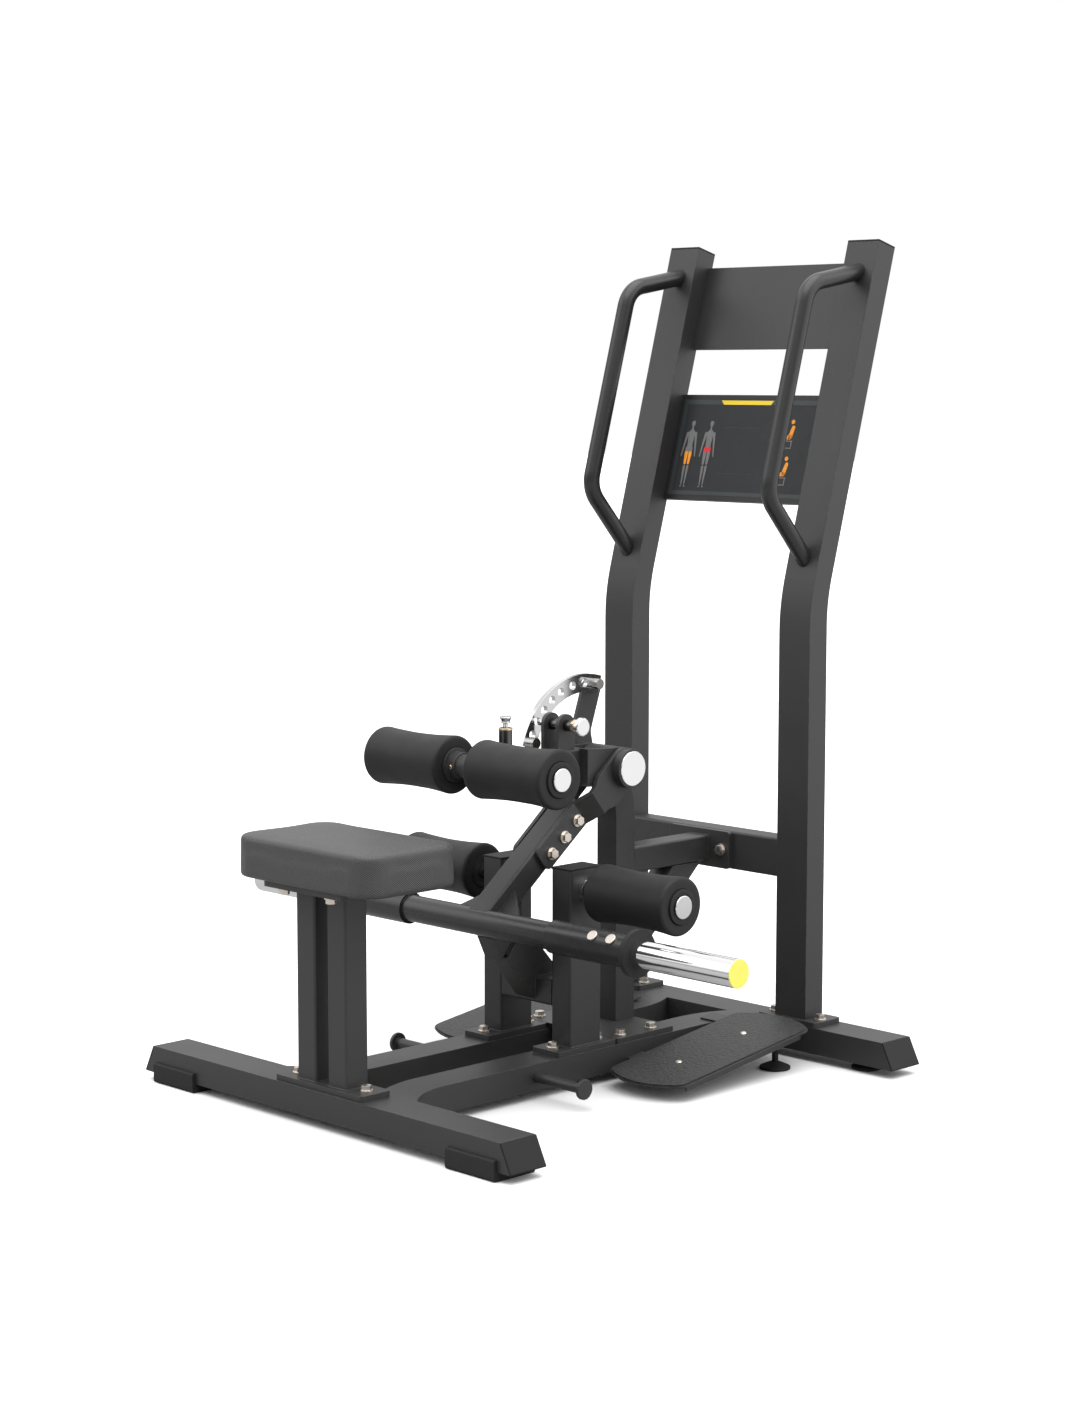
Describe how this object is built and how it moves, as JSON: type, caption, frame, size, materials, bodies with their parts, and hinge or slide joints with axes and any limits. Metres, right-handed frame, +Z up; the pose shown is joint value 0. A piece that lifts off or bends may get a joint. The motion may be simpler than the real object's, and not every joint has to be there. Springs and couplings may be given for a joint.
{
  "type": "hip thrust machine",
  "caption": "Plate-loaded standing hip thrust machine: a seat pad, foam rollers on a pivoting lever with weight horns, foot plates and tall uprights with grab handles.",
  "frame": {"origin": "on the floor, under the centre of the whole machine's outline", "axes": "+Z up; the seat is at -Y and the uprights at +Y; +X is the right side seen from the seat"},
  "size_m": [1.248, 1.2646, 1.5493],
  "materials": {
    "black_frame": "satin black powder coat with a fine grain",
    "chrome": "polished chrome plate",
    "sector_steel": "satin plated steel",
    "zinc": "warm bright zinc plate",
    "black_plastic": "moulded black plastic",
    "rubber": "matt black rubber",
    "foam": "smooth skinned black foam",
    "seat_vinyl": "dark grey vinyl with a fine woven grain",
    "tread": "coarse pebbled black anti-slip tread",
    "placard_frame": "moulded black plastic",
    "placard_print": null,
    "yellow_cap": "pale yellow plastic",
    "bronze": "sintered bronze",
    "steel_shaft": "ground steel"
  },
  "bodies": {
    "frame": {"back_panel": "black_frame", "band_pegs": "black_frame", "base_plates": "black_frame", "column": "black_frame", "column_brace": "black_frame", "foot_brackets": "black_frame", "foot_trays": "black_frame", "foot_treads": "tread", "frame_fasteners": "zinc", "front_rubber_shoes": "rubber", "front_stabiliser": "black_frame", "handle_left": "black_frame", "handle_right": "black_frame", "lower_axles": "chrome", "lower_posts": "black_frame", "pivot_bushings": "bronze", "pivot_shaft": "steel_shaft", "pivot_tube": "black_frame", "placard_face": "placard_print", "placard_housing": "placard_frame", "rail_left": "black_frame", "rail_right": "black_frame", "rear_stabiliser": "black_frame", "rest_bumper": "rubber", "seat_mount_plate": "black_frame", "seat_pad": "seat_vinyl", "seat_posts": "black_frame", "shaft_caps": "chrome", "shaft_collars": "black_frame", "stop_beam": "black_frame", "tube_end_caps": "black_plastic", "upright_crossbar": "black_frame", "upright_left": "black_frame", "upright_right": "black_frame"},
    "weight_lever": {"weight_arm": "black_frame", "lever_plates": "black_frame", "lever_bolts": "zinc", "weight_tube": "black_frame", "weight_stop_rings": "rubber", "weight_horns": "chrome", "horn_caps": "yellow_cap", "sector_plate": "sector_steel", "sector_bar": "black_frame", "sector_stops": "chrome"},
    "pad_lever": {"pad_yoke": "black_frame", "pad_arm": "black_frame", "sector_pin_barrel": "sector_steel", "carriage_pin_barrel": "chrome"},
    "pad_carriage": {"carriage_tube": "black_frame", "upper_axle": "chrome"},
    "sector_pin": {"sector_pin": "chrome"},
    "carriage_pin": {"carriage_pin": "chrome"},
    "levelling_foot_rear_left": {"levelling_foot_rear_left": "rubber"},
    "levelling_foot_rear_right": {"levelling_foot_rear_right": "rubber"},
    "levelling_foot_step_left": {"levelling_foot_step_left": "rubber"},
    "levelling_foot_step_right": {"levelling_foot_step_right": "rubber"},
    "lower_roller_left": {"lower_roller_left": "foam"},
    "lower_roller_right": {"lower_roller_right": "foam"},
    "upper_roller_left": {"upper_roller_left": "foam"},
    "upper_roller_right": {"upper_roller_right": "foam"}
  },
  "joints": [
    {"name": "weight_lever_hinge", "type": "hinge", "parent": "frame", "child": "weight_lever", "pos_m": [0, 0.117, 0.566], "axis": [-1, 0, 0], "range_deg": [0, 60]},
    {"name": "pad_start_angle", "type": "hinge", "parent": "weight_lever", "child": "pad_lever", "pos_m": [0, 0.117, 0.566], "axis": [-1, 0, 0], "range_deg": [-10.2, 55]},
    {"name": "pad_reach", "type": "slide", "parent": "pad_lever", "child": "pad_carriage", "axis": [0, -1, 0], "range_m": [-0.025, 0.075]},
    {"name": "sector_pin_pull", "type": "slide", "parent": "pad_lever", "child": "sector_pin", "axis": [1, 0, 0], "range_m": [-0.009, 0.006]},
    {"name": "carriage_pin_pull", "type": "slide", "parent": "pad_lever", "child": "carriage_pin", "axis": [0, 0, 1], "range_m": [-0.006, 0.004]},
    {"name": "lower_roller_right_spin", "type": "hinge", "parent": "frame", "child": "lower_roller_right", "pos_m": [0, -0.047, 0.3636], "axis": [1, 0, 0], "continuous": true},
    {"name": "upper_roller_right_spin", "type": "hinge", "parent": "pad_carriage", "child": "upper_roller_right", "pos_m": [0, -0.23, 0.5957], "axis": [1, 0, 0], "continuous": true},
    {"name": "levelling_foot_rear_right_screw", "type": "slide", "parent": "frame", "child": "levelling_foot_rear_right", "axis": [0, 0, -1], "range_m": [0, 0.015]},
    {"name": "levelling_foot_step_right_screw", "type": "slide", "parent": "frame", "child": "levelling_foot_step_right", "axis": [0, 0, -1], "range_m": [0, 0.015]},
    {"name": "lower_roller_left_spin", "type": "hinge", "parent": "frame", "child": "lower_roller_left", "pos_m": [0, -0.047, 0.3636], "axis": [1, 0, 0], "continuous": true},
    {"name": "upper_roller_left_spin", "type": "hinge", "parent": "pad_carriage", "child": "upper_roller_left", "pos_m": [0, -0.23, 0.5957], "axis": [1, 0, 0], "continuous": true},
    {"name": "levelling_foot_rear_left_screw", "type": "slide", "parent": "frame", "child": "levelling_foot_rear_left", "axis": [0, 0, -1], "range_m": [0, 0.015]},
    {"name": "levelling_foot_step_left_screw", "type": "slide", "parent": "frame", "child": "levelling_foot_step_left", "axis": [0, 0, -1], "range_m": [0, 0.015]}
  ]
}
